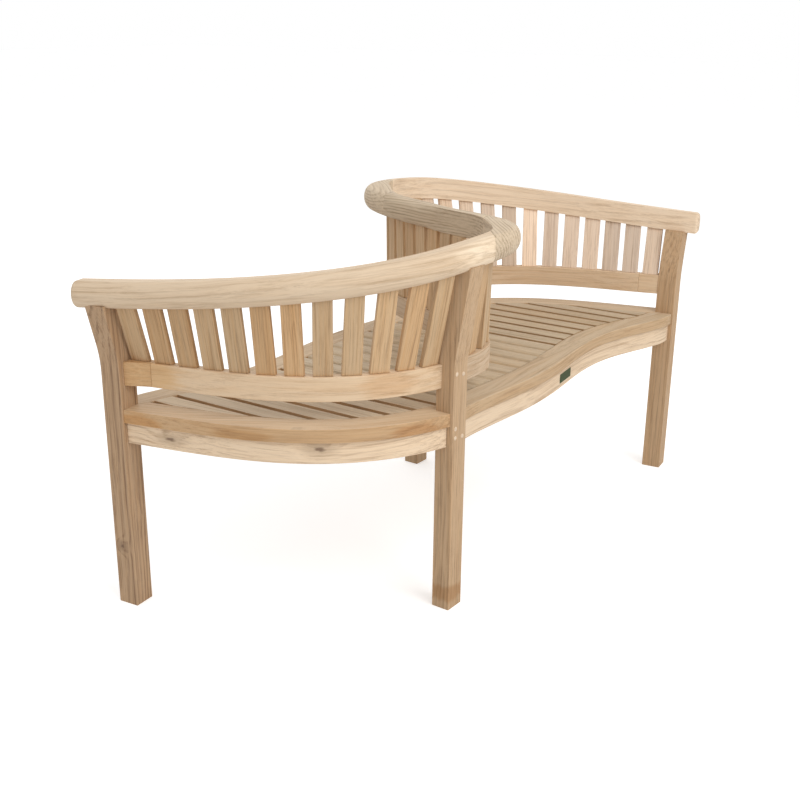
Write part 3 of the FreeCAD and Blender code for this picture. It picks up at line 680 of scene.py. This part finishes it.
def rail_ring(share):
    """One section of the rail: the round side changes over from the right to the left in the crossing."""
    centre = spline_point(share)
    step = 0.0005
    ahead = spline_point(min(share + step, 1)) - spline_point(max(share - step, 0))
    left = Vector((-ahead.y, ahead.x, 0)).normalized()
    turned = smooth(min(max((share - 0.5 + CROSSING_REACH) / (2 * CROSSING_REACH), 0), 1))
    half = RAIL_WIDTH / 2
    ring = []
    for way, reach, depth in (
            (-left, half + swell(share, 1 - BEND_SHARE), RAIL_ROUND * (1 - turned)),
            (left, half + swell(share, BEND_SHARE), RAIL_ROUND * turned)):
        side = []
        for index in range(RAIL_FACETS + 1):
            angle = math.pi * index / RAIL_FACETS
            out = reach - depth + depth * math.sin(angle)
            side.append(centre + way * out + UP * (RAIL_HEIGHT / 2 * math.cos(angle)))
        ring += side if way == -left else side[::-1]
    return ring


def joint_plane(joint, far, behind):
    """A point of a joint and the way to the side that is kept. Far is the far half's joint, behind its other side."""
    x, y, angle = joint
    across = Vector((-math.sin(math.radians(angle)), math.cos(math.radians(angle)), 0))
    point = Vector((-x, -y, 0)) if far else Vector((x, y, 0))
    return point, -across if far != behind else across


def end_ring(end, angle):
    """A section close to an end of the rail, drawn in so that the end is rounded over."""
    step = 0.001
    speed = (spline_point(abs(end - step)) - spline_point(end)).length / step
    share = abs(end - END_ROUND * (1 - math.cos(angle)) / speed)
    inset = END_ROUND * (1 - math.sin(angle))
    level, upright = 1 - inset / (RAIL_WIDTH / 2), 1 - inset / (RAIL_HEIGHT / 2)
    centre = spline_point(share)
    offsets = [point - centre for point in rail_ring(share)]
    return share, [centre + Vector((offset.x * level, offset.y * level, offset.z * upright)) for offset in offsets]


def bent_grain(mesh, first, last, seed, follow):
    """Grain that runs partly straight through the plank and partly along the curve cut from it."""
    line = [spline_point(first + (last - first) * step / LINE_STEPS) for step in range(LINE_STEPS + 1)]
    lengths = [0.0]
    for a, b in zip(line, line[1:]):
        lengths.append(lengths[-1] + (b - a).length)
    straight = (line[-1] - line[0]).normalized()
    across = UP.cross(straight).normalized()
    upward = straight.cross(across)
    middle = (line[0] + line[-1]) / 2
    angle, pith = lie_in_log(random.Random(seed), (0.04, 0.07), 0.02)
    turn = Matrix.Rotation(angle, 3, "X")
    for vertex in mesh.vertices:
        nearest = min(range(LINE_STEPS + 1), key=lambda step: (line[step] - vertex.co).length_squared)
        ahead = (line[min(nearest + 1, LINE_STEPS)] - line[max(nearest - 1, 0)]).normalized()
        left = UP.cross(ahead).normalized()
        offset = vertex.co - line[nearest]
        along = lengths[nearest] - lengths[-1] / 2 + offset.dot(ahead)
        curved = Vector((along, offset.dot(left), offset.z))
        offset = vertex.co - middle
        plain = Vector((offset.dot(straight), offset.dot(across), offset.dot(upward)))
        mesh.attributes["grain"].data[vertex.index].vector = turn @ plain.lerp(curved, follow) + pith
        mesh.attributes["axis"].data[vertex.index].vector = straight.lerp(ahead, follow).normalized()


def rail_stretch(name, node, first, last, stations, cuts, material, seed, follow=0.0, **grain):
    """A piece of the rail between two shares, cut at its joints. Each cut keeps the side it points to."""
    shape = bmesh.new()
    sections = [
        (share, rail_ring(share))
        for share in (first + (last - first) * station / stations for station in range(1, stations))]
    for end in (first, last):
        if end in (0, 1):
            sections += [end_ring(end, math.pi / 2 * step / END_STEPS) for step in range(END_STEPS + 1)]
        else:
            sections.append((end, rail_ring(end)))
    sections.sort(key=lambda section: section[0])
    rings = [[shape.verts.new(point) for point in ring] for _, ring in sections]
    skin(shape, rings)
    bmesh.ops.remove_doubles(shape, verts=shape.verts, dist=SAME_POINT)
    for point, across in cuts:
        result = bmesh.ops.bisect_plane(
            shape, geom=shape.verts[:] + shape.edges[:] + shape.faces[:], plane_co=point, plane_no=-across,
            clear_outer=True)
        open_edges = [item for item in result["geom_cut"] if isinstance(item, bmesh.types.BMEdge)]
        bmesh.ops.holes_fill(shape, edges=open_edges)
    bmesh.ops.recalc_face_normals(shape, faces=shape.faces[:])
    eased(shape, 0.0022, segments=3, corner=50, shortest=0.0)
    piece = finished(shape, name, material)
    give_grain(piece.data, seed, **grain)
    if follow:
        bent_grain(piece.data, first, last, seed, follow)
    settle(piece, [node])


def make_top_rail():
    (bend, crossing, far_bend, far_crossing), (past_bend, past_crossing, past_far_bend, past_far_crossing) = (
        [joint_plane(joint, far, behind) for far in (False, True) for joint in (BEND_JOINT, CROSSING_JOINT)]
        for behind in (False, True))
    curved = {"follow": 0.88}
    slanting = {"way": Vector((0.75, 0.65, 0.05))}
    for seed, (name, node, first, last, stations, cuts, material, tone, warmth, lie) in enumerate((
            ("arc_rail_near", "near_arc_top_rail", 0, 0.34, 100, (bend,), ARC_RAIL, 1.0, 0.05, curved),
            ("bend_rail_near", "near_bend_top_rail", 0.26, 0.44, 60, (past_crossing, past_bend), BEND_RAIL,
             0.96, -0.1, slanting),
            ("crossing_rail", "crossing_top_rail", 0.35, 0.65, 80, (crossing, far_crossing), BEND_RAIL,
             0.92, 0.0, {"way": Vector((0.25, 1, 0))}),
            ("bend_rail_far", "far_bend_top_rail", 0.56, 0.74, 60, (past_far_crossing, past_far_bend), BEND_RAIL,
             0.98, -0.1, slanting),
            ("arc_rail_far", "far_arc_top_rail", 0.66, 1, 100, (far_bend,), ARC_RAIL, 1.22, -0.6, curved)), 71):
        rail_stretch(name, node, first, last, stations, cuts, material, seed, tones=tone, warmths=warmth, **lie)


# Pieces that a geometry tree grows on points

def grown(name, tree, points, layers, **inputs):
    """A piece grown by a tree on points. Layers hold one vector or whole number for each point, and go after use."""
    mesh = bpy.data.meshes.new(name)
    mesh.from_pydata(points, [], [])
    for label, values in layers.items():
        kind, field = ("INT", "value") if isinstance(values[0], int) else ("FLOAT_VECTOR", "vector")
        layer = mesh.attributes.new(label, kind, "POINT")
        for row, value in enumerate(values):
            setattr(layer.data[row], field, value)
    piece = bpy.data.objects.new(name, mesh)
    SCENE.collection.objects.link(piece)
    modifier = piece.modifiers.new("grown", "NODES")
    modifier.node_group = tree
    for item in tree.interface.items_tree:
        if item.in_out == "INPUT" and item.name in inputs:
            modifier[item.identifier] = inputs[item.name]
    bake(piece)
    for label in layers:
        if label in piece.data.attributes:
            piece.data.attributes.remove(piece.data.attributes[label])
    return piece


# Back slats: one tree fans them between their feet and their heads

# From the end leg to the middle leg: how far each slat's head stands from the solid's, and how much narrower
# its head and foot are
HEAD_SLIDES = (0.010, 0.007, 0.001, -0.005, -0.010, -0.014, -0.016, -0.017, -0.017, -0.015, -0.012, -0.012)
HEAD_WIDTHS = (0.94, 0.93, 0.93, 0.92, 0.90, 0.87, 0.86, 0.86, 0.84, 0.86, 0.87, 0.89)
FOOT_WIDTHS = (0.98, 0.98, 0.98, 0.97, 0.95, 0.94, 0.94, 0.94, 0.95, 0.95, 0.95, 0.95)
NEAR_SLAT_TONES = (0.93, 0.90, 0.90, 0.94, 0.91, 0.94, 1.06, 0.95, 0.98, 1.06, 1.01, 0.96)
NEAR_SLAT_WARMTHS = (0.1, 0.45, 0.4, 0.1, 0.0, 0.6, 0.4, -0.2, 0.0, 0.1, 0.4, 0.0)
FAR_SLAT_TONES = (0.95, 1.00, 1.00, 0.92, 0.82, 1.28, 1.00, 1.06, 1.06, 0.90, 0.88, 0.98)
FAR_SLAT_WARMTHS = (0.0, 0.2, 0.0, -0.3, 0.0, -0.2, -0.6, -0.5, -0.3, -0.6, -0.5, -0.1)


def slat_fan_tree():
    """Puts a slat on each point: a block whose foot and head are the ends that the point carries."""
    net, given = new_group(
        "Geometry", "slat_fan",
        (("Geometry", "Geometry"), ("Steps along", "Int", 9), ("Cup", "Float", 0.0003), ("Seed", "Int"),
         ("Material", "Material")),
        ("Geometry",))
    block = net.node("GeometryNodeMeshCube", {
        "Size": (2, 2, 2), "Vertices X": 3, "Vertices Y": 2, "Vertices Z": given["Steps along"]})
    onto = net.node("GeometryNodeInstanceOnPoints", {"Points": given["Geometry"], "Instance": block.outputs["Mesh"]})
    local = net.node("ShaderNodeSeparateXYZ", {0: net.node("GeometryNodeInputPosition").outputs[0]}).outputs
    share = net.remap(local["Z"], -1.0, 1.0)
    middle, across, through = (
        net.node(
            "ShaderNodeMix", {0: share, 4: net.carried("foot" + part), 5: net.carried("head" + part)},
            data_type="VECTOR").outputs[1]
        for part in ("", "_across", "_through"))
    draw = net.node("FunctionNodeRandomValue", {"ID": net.carried("number", "INT"), "Seed": given["Seed"]},
                    data_type="FLOAT")
    bow = net.minus(1.0, net.times(local["X"], local["X"]))
    bow = net.times(bow, net.times(draw.outputs[1], given["Cup"]))
    place = net.vector("ADD", middle, net.vector("SCALE", across, scale=local["X"]))
    place = net.vector("ADD", place, net.vector("SCALE", through, scale=local["Y"]))
    place = net.vector("ADD", place, net.vector("SCALE", net.vector("NORMALIZE", through), scale=bow))
    moved = net.through("SetPosition", net.through("RealizeInstances", onto.outputs["Instances"]), Position=place)
    return net.returning(Geometry=net.through("SetMaterial", moved, Material=given["Material"]))


def slat_ends(points):
    """The two ends of a slat solid: middle, half width and half thickness of its foot and of its head."""
    half_way = (min(point.z for point in points) + max(point.z for point in points)) / 2
    ends = []
    for chosen in (
            [point for point in points if point.z < half_way],
            [point for point in points if point.z > half_way]):
        centre, wide = longest_way(chosen)
        thin = wide.cross(UP).normalized()
        middle, halves = centre, []
        for way in (wide, thin):
            reach = sorted((point - centre).dot(way) for point in chosen)
            middle = middle + way * (reach[-1] + reach[0]) / 2
            halves.append(way * (reach[-1] - reach[0]) / 2)
        ends.append((middle, *halves))
    return ends


def solids_of(node):
    """The corner points of each separate solid of a node."""
    shape = solid_shape(node)
    found = [[corner.co.copy() for corner in solid] for solid in solids_in(shape)]
    shape.free()
    return found


def fan_slats(name, nodes, tree, material, seed, fitted=False, **grain):
    """The slats of one stretch of the back, from the solids' ends, with their heads and widths fitted as listed."""
    ends = []
    for points in (points for node in nodes for points in solids_of(node)):
        (foot, foot_across, foot_through), (head, head_across, head_through) = slat_ends(points)
        if foot_across.dot(head_across) < 0:
            head_across = -head_across
        if foot_through.dot(head_through) < 0:
            head_through = -head_through
        if foot_across.cross(foot_through).z < 0:
            foot_through, head_through = -foot_through, -head_through
        ends.append((foot, head, foot_across, head_across, foot_through, head_through))
    row_way = ends[-1][0] - ends[0][0]
    if fitted:
        for (_, head, foot_across, head_across, _, _), slide, head_width, foot_width in zip(
                ends, HEAD_SLIDES, HEAD_WIDTHS, FOOT_WIDTHS):
            head += head_across.normalized() * math.copysign(slide, slide * head_across.dot(row_way))
            head_across *= head_width
            foot_across *= foot_width
    labels = ("foot", "head", "foot_across", "head_across", "foot_through", "head_through")
    layers = dict(zip(labels, zip(*ends)), number=range(len(ends)))
    blocks = grown(name, tree, [(0, 0, 0)] * len(ends), layers, Material=material, Seed=seed)
    shape = bmesh.new()
    shape.from_mesh(blocks.data)
    bpy.data.objects.remove(blocks)
    bmesh.ops.recalc_face_normals(shape, faces=shape.faces[:])
    eased(shape, 0.0016, corner=60, shortest=0.0)
    piece = finished(shape, name, material)
    give_grain(piece.data, seed, **grain)
    settle(piece, nodes)


def make_back_slats():
    tree = slat_fan_tree()
    for seed, (half, material, tones, warmths) in enumerate((
            ("near", SLAT, NEAR_SLAT_TONES, NEAR_SLAT_WARMTHS),
            ("far", PALE_SLAT, FAR_SLAT_TONES, FAR_SLAT_WARMTHS)), 81):
        nodes = ["%s_back_slat_%02d" % (half, number) for number in range(1, 13)]
        fan_slats("back_slats_" + half, nodes, tree, material, seed, fitted=True, tones=tones, warmths=warmths)
    fan_slats(
        "slats_of_the_crossing", ["near_bend_slats", "crossing_slats", "far_bend_slats"], tree, SLAT, 83,
        tones=(0.92, 1.10), warmths=(-0.4, 0.3))


# Pegs in the tenons of the middle legs

PEG_SINK = 0.0066
PEG_SIDES = 20


def peg_tree():
    """A turned peg with a slightly domed end on each point, standing along the point's facing."""
    net, given = new_group(
        "Geometry", "pegs",
        (("Geometry", "Geometry"), ("Radius", "Float", 0.0045), ("Length", "Float", 0.013),
         ("Dome", "Float", 0.0011), ("Seed", "Int", 3), ("Material", "Material")),
        ("Geometry",))
    radius, length = given["Radius"], given["Length"]
    shank = net.node("GeometryNodeMeshCylinder", {"Vertices": PEG_SIDES, "Radius": radius, "Depth": length},
                     fill_type="NGON")
    down = net.node("ShaderNodeCombineXYZ", {"Z": net.times(length, -0.5)})
    lowered = net.through("Transform", shank.outputs["Mesh"], Translation=down.outputs[0])
    ball = net.node("GeometryNodeMeshUVSphere", {"Segments": PEG_SIDES, "Rings": PEG_SIDES // 2, "Radius": radius})
    flat = net.node("ShaderNodeCombineXYZ", {"X": 1.0, "Y": 1.0, "Z": net.math("DIVIDE", given["Dome"], radius)})
    squashed = net.through("Transform", ball.outputs["Mesh"], Scale=flat.outputs[0])
    whole = net.node("GeometryNodeJoinGeometry")
    for part in (lowered, squashed):
        net.feed(whole.inputs["Geometry"], part)
    aim = net.node("FunctionNodeAlignRotationToVector", {"Vector": net.carried("facing")}, axis="Z")
    size = net.node("FunctionNodeRandomValue", {2: 0.9, 3: 1.06, "Seed": given["Seed"]}, data_type="FLOAT")
    onto = net.node("GeometryNodeInstanceOnPoints", {
        "Points": given["Geometry"], "Instance": whole.outputs["Geometry"], "Rotation": aim.outputs["Rotation"],
        "Scale": size.outputs[1]})
    smoothed = net.through("SetShadeSmooth", net.through("RealizeInstances", onto.outputs["Instances"]))
    return net.returning(Geometry=net.through("SetMaterial", smoothed, Material=given["Material"]))


def make_pegs():
    """Pegs where the solids have them, each facing out of its leg."""
    places, facings = [], []
    for points in solids_of("tenon_pegs"):
        middle = sum(points, Vector()) / len(points)
        outward = Matrix.Rotation(math.radians(-2), 3, "Z") @ Vector((0, -1 if middle.y < 0 else 1, 0))
        places.append(middle + outward * PEG_SINK)
        facings.append(outward)
    piece = grown("tenon_peg_heads", peg_tree(), places, {"facing": facings}, Material=PEG)
    give_grain(piece.data, 91, tones=(0.98, 1.12), warmths=(-0.3, 0.1), way=Vector((0, 1, 0)))
    settle(piece, ["tenon_pegs"])


# Blank plate on the front apron

def plate_material():
    material, net, shader = new_material("painted_plate")
    place = net.node("ShaderNodeTexCoord").outputs["Object"]
    mottle = net.noise(place, 260.0, detail=3.0)
    colour = net.mix(mottle, (0.030, 0.048, 0.017), (0.058, 0.080, 0.030))
    edge = net.group(EDGE, Grain=place, Reach=0.0012)["Edge"]
    net.feed(shader["Base Color"], net.mix(edge, colour, (0.36, 0.34, 0.24)))
    net.feed(shader["Roughness"], net.remap(mottle, 0.3, 0.7, 0.55, 0.70))
    net.relief(shader, mottle, strength=0.2, distance=0.0002)
    shader["Specular IOR Level"].default_value = 0.25
    return material


def make_plate():
    """A small blank plate with eased corners, flat on the right seat's front apron."""
    middle = Vector((0.160, -0.2729, 0.3945))
    along = Vector((0.994, 0.106, 0)).normalized()
    inward = Vector((-along.y, along.x, 0))
    size = (0.070, 0.0014, 0.022)
    shape = bmesh.new()
    bmesh.ops.create_cube(shape, size=1.0)
    bmesh.ops.scale(shape, vec=size, verts=shape.verts)
    turn = Matrix((along, inward, UP)).transposed().to_4x4()
    bmesh.ops.transform(shape, matrix=Matrix.Translation(middle) @ turn, verts=shape.verts)
    corners = [edge for edge in shape.edges if edge.calc_length() < 2 * size[1]]
    bmesh.ops.bevel(shape, geom=corners, offset=0.002, segments=4, profile=0.5, affect="EDGES")
    eased(shape, 0.0004, corner=60, shortest=0.0)
    piece = finished(shape, "blank_plate", plate_material())
    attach(piece, BODY)


# Studio

LAMP_SIZE = 3.0
LAMPS = (
    ("key", (-0.66, -3.3, 3.3), (0, 0, 0.4), 98),
    ("side", (-3.4, 0.6, 2.4), (0, 0, 0.4), 12),
    ("back", (1.8, 3.0, 2.6), (0, 0, 0.5), 24))


def make_studio():
    """A pale floor that glows a little towards the camera, a white world, and three soft lamps."""
    reach = 30
    mesh = bpy.data.meshes.new("floor")
    mesh.from_pydata([(reach * x, reach * y, 0) for x, y in ((-1, -1), (1, -1), (1, 1), (-1, 1))], [], [(0, 1, 2, 3)])
    floor = bpy.data.objects.new("floor", mesh)
    SCENE.collection.objects.link(floor)
    material, net, shader = new_material("pale_floor")
    shader["Base Color"].default_value = (0.86, 0.86, 0.86, 1)
    shader["Roughness"].default_value = 0.9
    shader["Specular IOR Level"].default_value = 0.1
    shader["Emission Strength"].default_value = 1.0
    seen = net.node("ShaderNodeLightPath").outputs["Is Camera Ray"]
    net.feed(shader["Emission Color"], net.mix(seen, (0.0, 0.0, 0.0), (0.45, 0.45, 0.45)))
    mesh.materials.append(material)

    world = SCENE.world or bpy.data.worlds.new("studio")
    SCENE.world = world
    world.use_nodes = True
    net = Net(world.node_tree)
    sky = world.node_tree.nodes["Background"].inputs
    sky["Color"].default_value = (1, 1, 1, 1)
    ray = net.node("ShaderNodeLightPath").outputs
    seen = net.math("MAXIMUM", ray["Is Camera Ray"], ray["Is Glossy Ray"])
    net.feed(sky["Strength"], net.remap(seen, 0.0, 1.0, 0.62, 1.0))

    for name, place, target, power in LAMPS:
        lamp = bpy.data.lights.new(name, "AREA")
        lamp.energy = power
        lamp.size = LAMP_SIZE
        holder = bpy.data.objects.new(name, lamp)
        holder.location = place
        holder.rotation_mode = "QUATERNION"
        holder.rotation_quaternion = (Vector(target) - Vector(place)).to_track_quat("-Z", "Y")
        SCENE.collection.objects.link(holder)
    SCENE.view_settings.view_transform = "Standard"


def make_camera():
    """The photograph's camera: its heading, pitch and roll, its place, and a lens with a small shift."""
    turn, pitch, roll = math.radians(55.47), math.radians(19.62), math.radians(0.31)
    place = (-2.1582, -1.3584, 1.2043)
    right = Vector((math.cos(turn), -math.sin(turn), 0))
    ahead = Vector((math.sin(turn) * math.cos(pitch), math.cos(turn) * math.cos(pitch), -math.sin(pitch)))
    up = Vector((math.sin(turn) * math.sin(pitch), math.cos(turn) * math.sin(pitch), math.cos(pitch)))
    axis_x = math.cos(roll) * right + math.sin(roll) * up
    axis_y = math.cos(roll) * up - math.sin(roll) * right
    data = bpy.data.cameras.new("photo_view")
    data.lens = 50.36
    data.sensor_width = 36
    data.shift_x = 0.0152
    data.shift_y = 0.0128
    data.dof.use_dof = False
    data.clip_start = 0.05
    data.clip_end = 200
    camera = bpy.data.objects.new("photo_view", data)
    basis = Matrix((axis_x, axis_y, -ahead)).transposed().to_4x4()
    camera.matrix_world = Matrix.Translation(place) @ basis
    SCENE.collection.objects.link(camera)
    SCENE.camera = camera


dress_boards()
make_top_rail()
make_back_slats()
make_pegs()
make_plate()
make_studio()
make_camera()
